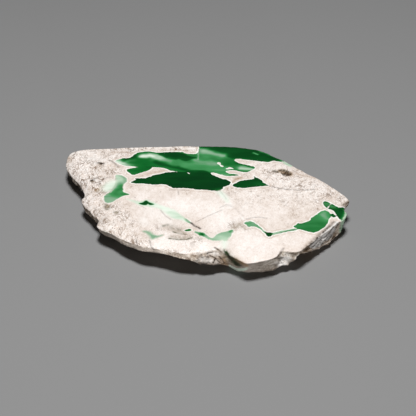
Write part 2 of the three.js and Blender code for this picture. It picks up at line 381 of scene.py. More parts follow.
# sawn base: scaled copies of the base ring, flat on the floor
def basePoints(baseRing):
    ring, share = ringsOf(stone["baseGrid"])
    steps = np.arange(len(baseRing) + 1) / len(baseRing)
    closed = np.concatenate([baseRing, baseRing[:1]])
    points = np.stack([np.interp(share, steps, closed[:, k]) for k in range(3)], axis=-1)
    middle = np.array([*stone["middle"], 0])
    return middle + (stone["baseInset"] * ring)[..., None] * (points - middle)


# Markings, read as x, y pixels of the picture, one point after another. Closed outlines of
# the green, the later over the earlier: tone, from 0, pale mint, to 1, near-black green, width of
# the border in mm, then the points
greenPatches = [
    (0.6, 0.15, 115, 161, 122, 158.5, 130, 157.5, 136, 153.5, 141, 152, 150, 151.5, 157, 152.5, 170, 152,
     182, 152, 187, 153.6, 196, 153.8, 198, 152, 199.4, 147.4, 200, 140, 240, 138, 272, 145, 294, 158,
     283, 161.6, 273, 160.8, 268, 162.2, 258, 161, 248, 160, 238, 159, 234.5, 160, 237, 162, 241, 163.5,
     247, 164.8, 254, 166.7, 255, 168, 250, 171, 246, 172.3, 240, 171.5, 233, 170.3, 227, 170.7,
     225.6, 171.6, 229, 173.3, 235, 174.3, 240, 175, 235, 175.8, 228, 176, 222, 175, 215, 173, 211, 172.6,
     206, 173, 190, 173.4, 182, 173, 175, 171.2, 170, 170.5, 167, 169, 163, 168, 157, 167.4, 153, 167.4,
     151, 169, 147, 171, 142, 172.7, 138, 173.7, 134, 175, 131.5, 174.5, 129, 172.5, 126.5, 170.2,
     128, 169, 132, 168, 138, 167, 134, 166.5, 126, 165.8, 120, 164),
    (0.12, 0.8, 281, 159.6, 287, 162.4, 292.4, 165.4, 290.4, 166.6, 284, 163.6),
    (0.97, 0.12, 131, 182.4, 135.5, 179.6, 135.3, 178.4, 140, 178.2, 146, 178, 150, 176.5, 155, 174.8,
     160, 174, 165, 172.7, 170, 172, 180, 171.9, 186, 171.6, 190, 170.2, 200, 170.2, 206, 170.8, 210, 173,
     213, 175, 218, 177.2, 222, 178.8, 227, 179.7, 230, 181.5, 230.5, 183, 229, 185, 226, 186.2,
     223.5, 187, 222.5, 189, 217.5, 191, 213, 190.7, 205, 190, 195, 189.3, 187, 188.2, 180, 188,
     174, 188.3, 170.5, 186.7, 167, 185.2, 163, 184.3, 157, 184.7, 150, 184.3, 143, 183.5, 138, 183.5),
    (0.88, 0.12, 232.5, 185.5, 236, 183, 240, 181, 245, 180, 251, 179.3, 254, 178.3, 254, 176.3,
     258, 178.3, 262, 180.5, 264, 183, 268.5, 185.5, 260, 186.5, 250, 187.5, 243, 188, 236, 187.3),
    (0.42, 0.35, 116, 175, 122, 175.5, 126, 178, 127, 181, 124, 184, 123, 188, 124, 192, 129.5, 194.6,
     124, 195.7, 119, 198, 115, 200.5, 111, 202.5, 107, 203, 104.5, 201, 104, 197, 106, 194.5, 110, 192,
     112, 189, 115, 184, 115.5, 179),
    (0, 3, 103, 187.5, 107, 183, 113, 180.5, 118, 181, 117, 186, 112, 190, 106, 191.5),
    (0.04, 1, 126, 198.5, 133, 200, 139, 201.5, 147, 200, 155, 203, 165, 206.5, 172, 209, 178, 212.5,
     184, 217.5, 189, 221, 186, 222, 181, 219.8, 174, 218.5, 168, 215.5, 163, 211, 157, 208, 148, 206.3,
     140, 205.3, 133, 202),
    (0.86, 0.15, 139, 203.4, 143, 202.4, 146, 200.4, 149, 202.3, 154, 204.3, 150, 205, 148, 203.8,
     146, 205, 142.5, 204.8),
    (0.36, 0.3, 184.5, 218, 187.5, 219.4, 191, 222.8, 189, 223.2, 186, 221.2),
    (0.66, 0.3, 184.5, 230.7, 187, 229.2, 190.5, 229, 191.2, 230.4, 188, 231.4),
    (0, 2, 217, 192, 221, 191, 225, 194.5, 228, 199, 227.4, 202, 223, 198, 219.5, 195),
    (0.29, 0.45, 194.6, 231.8, 199, 231.6, 204, 233, 208.6, 236.4, 212.4, 238, 215, 236.4, 218, 233.8,
     222, 232.2, 226, 231.4, 230, 230.2, 233.4, 229.8, 232.6, 232.6, 230.6, 236, 228, 239.6, 225.4, 241.4,
     222, 240.4, 217.6, 240.8, 212, 240.4, 207.6, 238.8, 203.4, 236.8, 198.4, 234.8),
    (0, 2.4, 222, 239.4, 226.4, 240, 226, 246, 223.8, 248, 222, 244),
    (0.37, 0.15, 244, 222.8, 248, 221.4, 252, 221.6, 256, 223.8, 260, 227, 264, 230.4, 267, 232.4,
     266, 234, 261.5, 230, 257, 227.4, 252, 226.4, 248, 227, 246.5, 225),
    (0.88, 0.15, 264.5, 232, 268, 232.4, 272.8, 232.8, 273, 234.8, 270, 236.6, 267.4, 236, 265.8, 234),
    (0.26, 0.2, 272.5, 233.2, 280, 231.1, 288, 229.7, 296, 228.3, 297, 229.8, 289, 231.4, 281, 233.2,
     273, 235),
    (0.59, 0.15, 293.5, 226.6, 296, 224.8, 298, 222.6, 300, 223.4, 305, 222.2, 310, 220.6, 311, 218,
     317, 214.2, 322, 211, 326, 210.4, 330, 213, 331.5, 216, 329, 219, 328, 222, 326, 226, 321, 229.5,
     316, 232.2, 312, 232.6, 308, 231.5, 303, 230, 298, 229),
    (0.86, 0.15, 323.4, 202.6, 325.8, 201.2, 329.6, 202.8, 333.4, 204.8, 337.2, 206.8, 340, 207.6,
     342.4, 207.2, 344.8, 209, 345, 213, 343.6, 217.4, 341.2, 220.4, 338.6, 218, 336, 214, 334.4, 211.4,
     331.6, 210, 328.6, 208.8, 326, 207.4, 324, 205.4),
    (0.82, 0.15, 330.8, 214.8, 333, 213.4, 335.8, 216.4, 334, 217.8, 332, 216.8),
    (0.2, 0.8, 344, 209.2, 346.6, 210, 348, 213.5, 346.4, 219, 345, 226, 342.6, 233, 339.6, 233,
     340.2, 226, 341.4, 220.6, 344, 215.5, 344.8, 212),
    (0.32, 1.2, 143, 231, 150, 231.6, 153, 234, 158, 235.6, 163, 235, 156, 238, 152, 239.2, 149.5, 236.5,
     147, 234),
    # the near-black patch from (224, 250) to (240, 266) is the raised clast's left side face: its dark
    # green, deepened as painted shade
    (0.98, 0.7, 223.8, 250.2, 226.6, 251.4, 230, 255.6, 234.6, 260.4, 240.4, 265.6, 237, 266, 232.6, 262.4,
     228.6, 257.4, 225.2, 253.4),
    (0.02, 0.6, 229, 264.5, 236, 268, 243, 268.3, 247.5, 267.4, 245.5, 270.5, 238, 271, 231, 268.4),
]

# white grains of matrix inside the green
whiteGrains = [
    [217.4, 162.8, 219, 162.2, 220.4, 163.2, 221, 164.8, 223.4, 166.2, 222, 166.9, 220, 166, 219.2, 164.4,
     217.8, 164],
    [225.4, 168.6, 227.6, 168, 229, 167.2, 233, 168.2, 233.6, 169, 230, 168.9, 227, 169.5],
    [327.6, 207.6, 329.4, 205, 330.8, 203.4, 331, 204, 329, 206.8, 328.2, 208.4],
    [187, 172.6, 188.2, 172.4, 189.6, 173.2, 189.2, 173.9, 188, 173.2],
]

# deeper bodies inside the green: tone, softness in mm, then the outline
toneBodies = [
    (0.9, 0.5, 156.5, 152.6, 165, 152, 175, 152, 184, 153.4, 192, 156, 197, 157.8, 190, 160, 180, 160,
     170, 159.4, 163, 157),
    (0.88, 1.3, 198, 146, 208, 148.6, 216, 151.6, 224, 155.6, 232, 158.6, 238, 158.6, 250, 160, 262, 162,
     281, 160.5, 294, 157, 272, 144, 240, 138, 200, 140),
]

# strokes that shade the green, one of them a painted highlight along the back edge: tone, width in mm,
# strength, then the path
toneStrokes = [
    (0.02, 1.7, 1, 114, 161.3, 122, 162.8, 128, 163.8), (0.8, 1.3, 0.9, 126, 159, 136, 156, 145, 159.5),
    (0.68, 1.3, 0.8, 131, 163, 150, 163, 166, 164.5), (0.74, 1.4, 0.85, 128, 170.5, 138, 171, 151, 167.5),
    (0.7, 0.5, 0.85, 138, 153.4, 150, 152.2, 157, 152.8), (0, 1.25, 1, 143, 156, 150, 155.8, 158, 157.4),
    (0.26, 0.9, 0.7, 157, 157, 164, 159.6, 172, 162), (0.42, 1.2, 0.6, 168, 161, 186, 163.4),
    (0.44, 2.4, 0.9, 186, 165.5, 205, 165, 222, 169.5), (0.32, 1.1, 0.8, 196, 161, 216, 162.6),
    (0.46, 1.6, 0.8, 201, 151.5, 206, 156), (0.22, 1.2, 0.75, 203, 150.6, 213, 153.6, 224, 155.6),
    (0.58, 0.5, 0.6, 200, 158.6, 214, 159), (0.64, 1, 0.9, 225, 164.5, 237, 163.2),
    (0.84, 0.75, 0.9, 156, 162.4, 172, 166.4, 187, 170), (0.28, 0.35, 0.85, 252.4, 153.4, 259, 154.2),
    (0.2, 0.85, 0.95, 240, 168, 253, 168.4), (0.76, 0.4, 0.85, 236, 163.4, 247, 165.4, 254, 167),
    (0.38, 0.9, 0.7, 216, 173, 226, 175), (0.86, 2, 0.8, 134, 181, 158, 180),
    (0.74, 1.2, 0.8, 259, 183.2, 267, 185.6), (0.12, 1.7, 0.9, 116.4, 177, 123, 180),
    (0.36, 0.6, 0.7, 125, 178, 125, 182), (0.54, 1.5, 0.95, 121.5, 186.5, 116, 193.5),
    (0.33, 1.5, 0.9, 106.5, 199, 113, 199.5), (0.6, 0.5, 0.8, 123.5, 193.6, 129, 194.6),
    (0.38, 1.3, 0.85, 323, 214, 327, 218.5), (0.4, 1, 0.9, 325.4, 203.8, 333, 207),
    (0, 1, 0.9, 158, 206, 166, 208.6), (0.3, 0.3, 0.8, 198, 152.8, 199, 159.4),
    # the stroke of tone 0.4 from (258, 150.6) to (282, 160.6) is a painted highlight along the back edge
    (0.4, 0.4, 0.7, 258, 150.6, 268, 154, 282, 160.6), (0.1, 0.8, 0.7, 170, 212.4, 180, 216.6),
    (0.42, 0.6, 0.7, 196, 232.6, 206, 236), (0.8, 0.4, 0.9, 201.6, 233.4, 204, 234.8),
    (0.55, 0.4, 0.7, 228.5, 232, 233, 230), (0.16, 0.7, 0.3, 222, 236.5, 226, 239.5),
    (0.5, 0.35, 0.7, 282, 232, 294, 229.4), (0.44, 0.4, 0.8, 244.6, 223.4, 250, 222.4),
    (0.4, 0.3, 0.8, 257, 225.4, 264.6, 231.4),
]

# marks on the matrix, by kind: width in mm, strength, then the path; "light" are pale plates, and painted
# light on the raised clast's shaded front wall, "busy" is ground full of fine cracks
matrixMarks = {
    "crack_and_shade": [
        (0.16, 0.75, 268, 185.5, 278, 188, 288, 189.5, 300, 190.3, 315, 189.6),
        (0.3, 1.2, 191, 222.8, 195, 226, 200.5, 228.6),
        (0.16, 0.45, 196, 222, 202, 219, 208, 216, 215, 213, 222, 210),
        (0.14, 0.3, 219.6, 190.6, 223.4, 194.6, 226.4, 199),
        (0.14, 0.3, 226, 206.6, 230, 204.4, 233, 206.6), (0.14, 0.3, 233, 207, 238, 211.4, 244, 217),
        (0.2, 0.5, 247, 219, 253, 217.6, 259, 217, 267, 218.4),
        (0.22, 0.3, 169, 190, 178, 189.9, 189, 190.4), (0.16, 0.4, 178, 190, 178.6, 194.5),
        (0.22, 0.9, 109.5, 160, 114, 162.6, 118.6, 167),
        (0.18, 0.7, 99, 184.4, 101, 181, 104, 178.6, 110, 176.8),
        (0.18, 0.4, 160.5, 210, 165, 215.6, 171, 219.6), (0.16, 0.3, 140, 205.4, 146, 208.6),
        (0.2, 0.35, 220, 207.5, 227, 204.4, 231.4, 206.6), (0.2, 0.5, 136, 239, 137.5, 246),
        (0.25, 0.6, 149.5, 240, 151, 246.5, 154, 250), (0.3, 0.6, 192, 255, 196, 257, 199, 260),
        # the strokes from (215, 248) down to (239, 266) darken the groove left of the raised clast: its
        # dark cracks, deepened as painted shade
        (0.35, 0.8, 283.5, 248.6, 281, 252, 278.5, 258.5), (0.28, 1, 214.8, 247.6, 218, 249.4, 221.4, 252),
        (0.6, 0.7, 226, 253.4, 230, 257.6, 235, 262, 239.4, 265.6),
        (0.3, 1.2, 228, 256, 232, 260.4, 237.4, 265), (0.8, 1, 344.6, 205.4, 346.6, 204, 349.2, 202.6),
        # this stroke darkens the rim under the front-right notch: painted shade
        (0.5, 0.5, 287, 252.4, 294, 254, 299, 252.6),
        (0.6, 0.75, 334, 222.4, 327, 228.4, 316, 238.4, 304, 250), (0.3, 1.5, 274.4, 171.4, 277.2, 172),
        (0.36, 1.5, 280, 170.4, 284, 170.8, 287.6, 172), (0.5, 1.1, 284.6, 173.8, 288, 175.2),
        (0.3, 0.9, 287.6, 172, 290.4, 174), (0.4, 1.6, 98, 163.2, 102.6, 163.4),
        (0.4, 1.5, 91.2, 180.8, 93.4, 180), (0.35, 1, 94.6, 178.4, 96.8, 177.4),
        (0.5, 0.4, 324.6, 203.6, 329, 205.4, 335, 208.4), (0.2, 0.4, 276, 233.6, 285, 231.8, 294, 229.9),
        (0.22, 0.5, 265.6, 232.2, 272, 233), (0.2, 1.4, 205, 254, 209, 252.8, 213, 251.6),
        (0.22, 1.6, 209.6, 255.4, 213, 257, 215.6, 258, 213, 263),
        (0.2, 1.3, 202, 257.4, 206, 256.6, 208.6, 257.6), (0.2, 1.3, 219, 256.4, 222, 259.4, 224, 263),
        (0.18, 1.2, 216.4, 259.6, 220, 262.4), (0.26, 1.1, 306, 249.6, 313, 242.6, 321, 234.4, 330, 226.4),
        (0.17, 1, 311.4, 248.4, 317, 242.4, 322, 237.6),
        (0.17, 1, 316, 247, 322, 240, 330, 231.6, 334, 226.4), (0.18, 1, 321, 244.6, 327, 238, 331, 232.6),
        (0.2, 0.9, 328, 240, 334, 231.6, 338, 224),
    ],
    "tan": [
        (0.5, 1.2, 217.6, 249.6, 221.6, 252.4), (0.6, 1.2, 235, 259.4, 241, 262.4, 246, 265.4),
        (0.9, 0.8, 344.4, 205.2, 346.6, 203.8, 349.2, 202.4),
        (0.9, 1.2, 281, 171, 285.4, 172.8, 290.4, 175),
        (0.3, 0.5, 292, 172.4, 300, 174.8, 310, 177, 318, 178),
        (0.8, 0.3, 140, 150.6, 165, 150.2, 196, 150.6), (0.8, 0.5, 185, 147.6, 186.5, 151),
        (0.6, 0.4, 112, 153, 124, 152, 130, 153.6), (0.7, 0.5, 69, 157, 69.5, 162),
        (1.4, 0.35, 95, 191, 101, 187), (2.4, 0.28, 102, 168, 114, 166), (2.6, 0.2, 104, 172, 112, 176),
        (4.5, 0.14, 98, 214, 128, 234), (0.6, 0.85, 236, 179.4, 241, 177.8),
        (0.5, 0.7, 231.4, 183, 234, 181), (1.6, 0.3, 172, 227, 188, 234),
        (1.2, 0.5, 234.6, 227, 239, 224, 244.6, 226.6), (1, 0.3, 322, 196, 332, 199),
        (0.9, 1, 219.6, 253, 222.6, 258, 225.6, 264.5), (0.6, 0.8, 238, 260.5, 246.5, 266),
        (0.7, 0.4, 191, 254.5, 199, 259), (0.5, 0.5, 140, 176.4, 150, 173.2, 165, 170.2),
        (1.6, 0.5, 168, 227, 176, 230, 184, 232.6), (1, 0.45, 172, 236, 186, 237),
        (0.5, 1, 205, 254, 209, 252.8, 213, 251.6), (0.5, 1, 209.6, 255.4, 215.6, 258, 213, 263),
        (0.5, 1, 219, 256.4, 222, 259.4, 224, 263), (2, 0.7, 308, 250, 320, 240, 336, 226),
    ],
    "olive": [
        (0.45, 1.1, 274, 171.2, 277.4, 172), (0.4, 1, 280.4, 170.2, 284, 170, 288, 171.6),
        (1, 0.35, 233, 228, 239, 225, 244, 227), (1.2, 0.45, 171, 227, 182, 232),
        (0.9, 0.35, 172, 237, 188, 238), (0.5, 1, 163.6, 226, 167.6, 224.8),
        (0.4, 0.7, 171, 228.2, 176, 228.6, 181, 230.2), (0.3, 1, 173, 231.8, 179, 233.6, 186, 234.4),
        (0.32, 1, 169, 238.4, 179, 239.6, 186, 239.4, 191.5, 237.8), (0.8, 0.8, 106, 204, 107.4, 208.6),
        (0.6, 0.75, 115.4, 212, 117, 213), (0.7, 0.5, 104, 231, 106, 233),
        # this stroke along the groove left of the raised clast is its olive-brown colour, deepened as
        # painted shade
        (1.1, 0.9, 224, 251, 229, 256.4, 236, 263),
    ],
    "white": [
        (0.6, 0.9, 96, 163, 97.2, 163.2), (0.9, 0.7, 89, 158.4, 95.6, 159),
        (1.1, 0.8, 143.5, 219, 145, 224), (1, 0.7, 189, 148.6, 198, 151),
        (0.35, 0.8, 198.2, 153.4, 198.8, 159.4), (0.4, 0.9, 328, 207.4, 333, 211, 338, 217, 341.4, 220.4),
        (1.1, 1.3, 281.5, 264.5, 284, 261.5, 286.5, 258.5), (1.5, 0.7, 209, 252.4, 216.4, 253.8),
        (1.2, 0.7, 202.6, 259.4, 209, 260, 214, 261.4), (0.42, 2.2, 311, 246.6, 316, 241.4, 320, 238),
        (0.42, 2.2, 313.6, 247.6, 319, 242.4, 327, 234), (0.42, 2.2, 318, 245.6, 323, 240.6, 327, 236.6),
        (0.42, 2.2, 322, 236, 329, 229.4), (0.42, 2.2, 326, 239.4, 330, 234.6, 334, 229),
        (0.42, 2, 331, 228.6, 337, 222.4), (0.8, 0.9, 218.4, 191.5, 223, 196, 227.6, 201, 230, 207),
        (0.35, 0.9, 322.8, 205.5, 324, 201.8, 328, 202, 334, 204.6, 341, 207),
        (0.8, 0.5, 94, 156, 101, 160), (2.6, 0.5, 152, 212, 172, 222),
    ],
    "light": [
        (6, 0.3, 150, 197, 200, 203), (7, 0.76, 244, 246, 262, 246), (4, 0.62, 160, 244, 204, 246),
        # the stroke from (248, 268) to (272, 267) on this line paints light on the raised clast's front
        # wall, which lies in shade
        (5, 0.5, 232, 205, 270, 214), (1.4, 0.8, 248, 268, 272, 267), (2.2, 0.7, 314, 244, 332, 226),
        (4.5, 0.9, 178, 203, 215, 212, 228, 222), (4, 0.5, 286, 240, 306, 240),
    ],
    "busy": [
        (1.8, 1.2, 234, 227, 240, 223.6, 245, 226.4), (6, 0.9, 264, 168, 290, 180, 335, 198),
        (3, 1.4, 92, 180, 101, 191), (1.2, 1.4, 132, 150, 165, 149.6, 196, 150.4),
        (6, 0.3, 240, 194, 310, 204), (3, 0.6, 160, 228, 195, 238), (4, 0.5, 236, 192, 262, 194, 285, 200),
        (2, 0.5, 230, 176, 250, 174),
    ],
}

# unpolished ground at the left and along the back, where the matrix is pitted
roughGround = [
    58, 146, 130, 144, 196, 142, 197, 150, 150, 150.8, 118, 158, 112, 165, 122, 172, 112, 180, 102, 188,
    102, 202, 116, 206, 134, 224, 139, 240, 166, 251, 202, 253, 214, 254, 206, 270, 150, 262, 92, 238,
    74, 204, 56, 170]
roughFade = (-3.0, 1.5)  # mm inside its border where the pitting starts and where it is full
strokeBend = (2.2, 0.9, 0.45)  # mm, sizes of the noises that bend strokes in the green, and how far
outlineReach = 4.0  # mm, farther from an outline than this all places are alike


# least squared distance in mm to the segments of a path, each cut to its two ends
def squareDistance(places, path):
    nearest = np.full(len(places), np.inf)
    for start, end in zip(path[:-1], path[1:]):
        along = end - start
        share = np.clip((places - start) @ along / (along @ along), 0, 1)
        nearest = np.minimum(nearest, ((places - start - share[:, None] * along) ** 2).sum(axis=1))
    return nearest


# signed distance in mm from an outline, positive inside: the least distance to its segments,
# with the sign from how many of them a line to +X crosses, kept within the outlines' reach
def outlineDistance(places, outline):
    outline = np.reshape(outline, (-1, 2))
    corners = onFace(closedCurve(outline, np.arange(4 * len(outline) + 1) / 4))
    low, high = corners.min(axis=0) - outlineReach, corners.max(axis=0) + outlineReach
    near = ((places > low) & (places < high)).all(axis=1)
    spots = places[near]
    inside = np.zeros(len(spots), bool)
    for start, end in zip(corners[:-1], corners[1:]):
        crosses = (start[1] > spots[:, 1]) != (end[1] > spots[:, 1])
        slope = (end[0] - start[0]) / ((end[1] - start[1]) or 1)
        inside ^= crosses & (spots[:, 0] < start[0] + (spots[:, 1] - start[1]) * slope)
    gap = np.minimum(np.sqrt(squareDistance(spots, corners)), outlineReach)
    distance = np.full(len(places), -outlineReach)
    distance[near] = np.where(inside, gap, -gap)
    return distance


# weight from 0 to 1 of a soft stroke: a bell over the least distance to its path
def strokeWeight(places, path, width):
    return np.exp(-squareDistance(places, onFace(path)) / width ** 2)


# rough ground as a share from 0 to 1
def roughShare(points):
    places = carriedToFace(points.reshape(-1, 3))
    return ease(outlineDistance(places, roughGround), *roughFade).reshape(points.shape[:-1])


# the markings at every vertex, each a number the material reads
def markingsAt(points):
    places = carriedToFace(points)
    edge = np.full(len(places), -outlineReach)
    tone = np.full(len(places), 0.5)
    soft = np.full(len(places), 0.2)
    for patchTone, patchSoft, *outline in greenPatches:
        distance = outlineDistance(places, outline)
        blend = 0.1 + patchSoft
        over = np.where(edge > 0, ease(distance, -blend, blend), distance > edge)
        tone = tone + over * (patchTone - tone)
        soft = soft + over * (patchSoft - soft)
        edge = np.maximum(edge, distance)
    flat = np.column_stack([places, 0 * places[:, 0]])
    coarse, fine, reach = strokeBend
    bend = [stoneNoise(flat + 20 * k, coarse) + 0.5 * stoneNoise(flat + 30 * k, fine) for k in (1, 2)]
    bent = places + reach * np.stack(bend, axis=1)
    for bodyTone, softness, *outline in toneBodies:
        share = ease(outlineDistance(bent, outline), -softness / 2, softness / 2)
        tone = tone + share * (bodyTone - tone)
    for strokeTone, width, strength, *path in toneStrokes:
        share = strength * strokeWeight(bent, path, width)
        tone = tone + share * (strokeTone - tone)
    for outline in whiteGrains:
        edge = np.minimum(edge, -outlineDistance(places, outline))
    marks = {"greenEdge": edge, "greenTone": tone, "greenSoft": soft}
    for kind, rows in matrixMarks.items():
        shares = [strength * strokeWeight(places, path, width) for width, strength, *path in rows]
        marks[kind] = np.max(shares, axis=0)
    marks["busy"] = np.maximum(marks["busy"], roughShare(points))
    return marks


# One closed mesh: face grid, rim rings, base grid and the stitched ring between rim and base
def stoneMesh():
    face, chipped = facePoints()
    rim = rimRings()
    base = basePoints(rim[-1])
    grids = (face, rim, base)
    points = np.concatenate([grid.reshape(-1, 3) for grid in grids])
    ends = np.cumsum([grid[..., 0].size for grid in grids])
    numbers = np.split(np.arange(len(points)), ends[:-1])
    faceTable, rimTable, baseTable = (n.reshape(grid.shape[:2]) for n, grid in zip(numbers, grids))

    # a grid's outer ring in order, anticlockwise from the middle of its +X side
    def borderOf(table):
        ring, share = ringsOf(len(table))
        outer = ring == 1
        return table[outer][np.argsort(share[outer], kind="stable")]

    rows = np.vstack([borderOf(faceTable), rimTable])
    rows = np.hstack([rows, rows[:, :1]])
    quads = np.concatenate([quadsOf(faceTable), quadsOf(rows), quadsOf(baseTable)[:, ::-1]])
    fine = rows[-1]
    coarse = np.append(borderOf(baseTable), borderOf(baseTable)[0])
    stitch = np.concatenate([
        np.stack([fine[0:-1:2], coarse[:-1], fine[1::2]], axis=1),
        np.stack([fine[1::2], coarse[:-1], coarse[1:]], axis=1),
        np.stack([fine[1::2], coarse[1:], fine[2::2]], axis=1),
    ])

    mesh = bpy.data.meshes.new("variscite_stone")
    mesh.from_pydata((points * mm).tolist(), [], quads.tolist() + stitch.tolist())
    mesh.polygons.foreach_set("use_smooth", np.ones(len(mesh.polygons), bool))
    marks = markingsAt(points)
    for name in ("broken", "sawn", "hollow", "proud", "calm"):
        marks[name] = np.zeros(len(points))
    marks["broken"][rimTable] = 1
    marks["broken"][faceTable] = stone["chipDull"] * ease(chipped, *stone["chipDepths"])
    marks["sawn"][baseTable] = 1
    marks["hollow"][faceTable] = ease(cavityDepth(face), *stone["hollowDepths"])
    size, stretch, strength = stone["layers"]
    layers = stoneNoise(rim / np.array([stretch, stretch, 1]), size)
    layers = strength * layers * ease(rim[..., 0], *stone["layerStart"])
    marks["proud"][rimTable] = fineRelief(rim) + layers
    marks["calm"][rimTable] = calmShare(rim)
    joints = stone["jointDark"] * jointShare(rim)
    marks["crack_and_shade"][rimTable] = np.maximum(marks["crack_and_shade"][rimTable], joints)
    for name, values in marks.items():
        mesh.attributes.new(name, "FLOAT", "POINT").data.foreach_set("value", np.float32(values))
    mesh.update()
    return mesh, list(marks)


# adds an object with its data to the scene
def placed(name, data):
    made = bpy.data.objects.new(name, data)
    bpy.context.scene.collection.objects.link(made)
    return made


# sRGB hex to the linear colour that the shaders take
def colour(hexValue):
    channels = [int(hexValue[k:k + 2], 16) / 255 for k in (1, 3, 5)]
    return (*(c / 12.92 if c <= 0.04045 else ((c + 0.055) / 1.055) ** 2.4 for c in channels), 1)


# adds one node with its inputs, a Math node's operation, a ramp's stops and other settings, and gives
# one output; inputs are values or links, by name or in order: a MapRange's are the value, the two
# ends it comes from and the two it goes to
def addNode(tree, kind, inputs, operation="", output=0, stops=(), **settings):
    made = tree.nodes.new("ShaderNode" + kind)
    if operation:
        made.operation = operation
    for name, value in settings.items():
        setattr(made, name, value)
    for name, value in inputs.items() if isinstance(inputs, dict) else enumerate(inputs):
        if isinstance(value, bpy.types.NodeSocket):
            tree.links.new(value, made.inputs[name])
        else:
            made.inputs[name].default_value = value
    for number, (position, hexValue) in enumerate(stops):
        elements = made.color_ramp.elements
        element = elements[number] if number < 2 else elements.new(position)
        element.position = position
        element.color = colour(hexValue)
    return made.outputs[output]


# Variscite in matrix: a wax-smooth green phosphate, lapped to a deep gloss, in chalky pinkish-white
# rock that takes only a satin polish; where it is broken it is dull, grey-brown and gritty
look = {
    "green": [(0, "#ecf6e8"), (1, "#093a18"), (0.12, "#c6ddc5"), (0.28, "#98bc9c"), (0.37, "#7ba684"),
              (0.45, "#46965a"), (0.6, "#267239"), (0.68, "#12682a"), (0.75, "#105624"), (0.88, "#0a461b")],
    "matrix": [(0.05, "#9c8a7b"), (0.8, "#fbf4ee"), (0.22, "#cdbdb0"), (0.36, "#e3d6cc"), (0.5, "#ebdfd6"),
               (0.65, "#f3e9e2")],
    "brokenStone": [(0.15, "#4f4134"), (0.9, "#f2e9df"), (0.35, "#8d7c6b"), (0.5, "#b0a192"),
                    (0.7, "#d3c7b9")],
    "hollow": [(0, "#9a8560"), (1, "#2f2412"), (0.45, "#614c2a")],
    "smoothLip": "#aca299",
    "halo": "#fcfaf4",
    "stain": "#d8c8bc",  # thin darker line outside the halo
    "white": "#fbf6f1",
    "tan": "#a88a6c",
    "olive": "#59563a",
    "crack_and_shade": "#34281c",
    "wrinkle": "#836e5d",
    # noises: size in mm, detail and how much they swirl
    "noises": {
        "cloud": (6, 3, 0),  # drifts of tint in the matrix
        "blotch": (1.3, 3, 0),  # spots of darker mineral
        "grain": (0.4, 1, 1),  # mineral grains
        "wrinkle": (1, 0.5, 1.4),  # its middle level gives wavy fine cracks
        "fold": (2.6, 1, 1.2),  # and longer ones
        "patchy": (1.8, 2, 0),  # breaks the cracks up
        "speck": (0.8, 1, 0),  # dark pinholes
        "ragged": (0.7, 3, 0),  # breaks up the marks' borders
        "coarse": (1.8, 4, 0),  # broken stone
    },
    # how much a noise shows in the matrix, and how much more on busy ground and pale plates
    "unrest": {"blotch": (0.5, 0.15, 0), "grain": (0.62, 1, 0), "cloud": (0.9, -0.4, -0.5)},
    "matrixLevel": 0.43,  # the plain matrix's place on its ramp
    "lift": {"light": 0.34, "busy": 0.21},  # how much paler plates and busy ground are
    "fineCracks": {"wrinkle": 0.045, "fold": 0.03},  # half width of the band of noise that shows
    "rimLevel": -1.08,  # start of the broken stone's place on its ramp
    "rimUnrest": {"strata": 1.3, "coarse": 1, "proud": 0.8, "light": 0.25, "grain": 0.8},
    # outside the green: where a line starts and is full, in mm from the border
    "borderLines": {"stain": (-1.1, -0.7), "halo": (-0.48, -0.2)},
    "bedding": 0.7,  # mm, thin layers on the broken rim
    "drift": 2.4,  # mm, streaks in the green
    "driftShare": 0.3,  # how far they change its tone
    "wander": 0.7,  # mm, how far the green's border wanders
    "polish": (0.72, 0.18, 0.85),  # roughness of the matrix, the green and broken stone
}


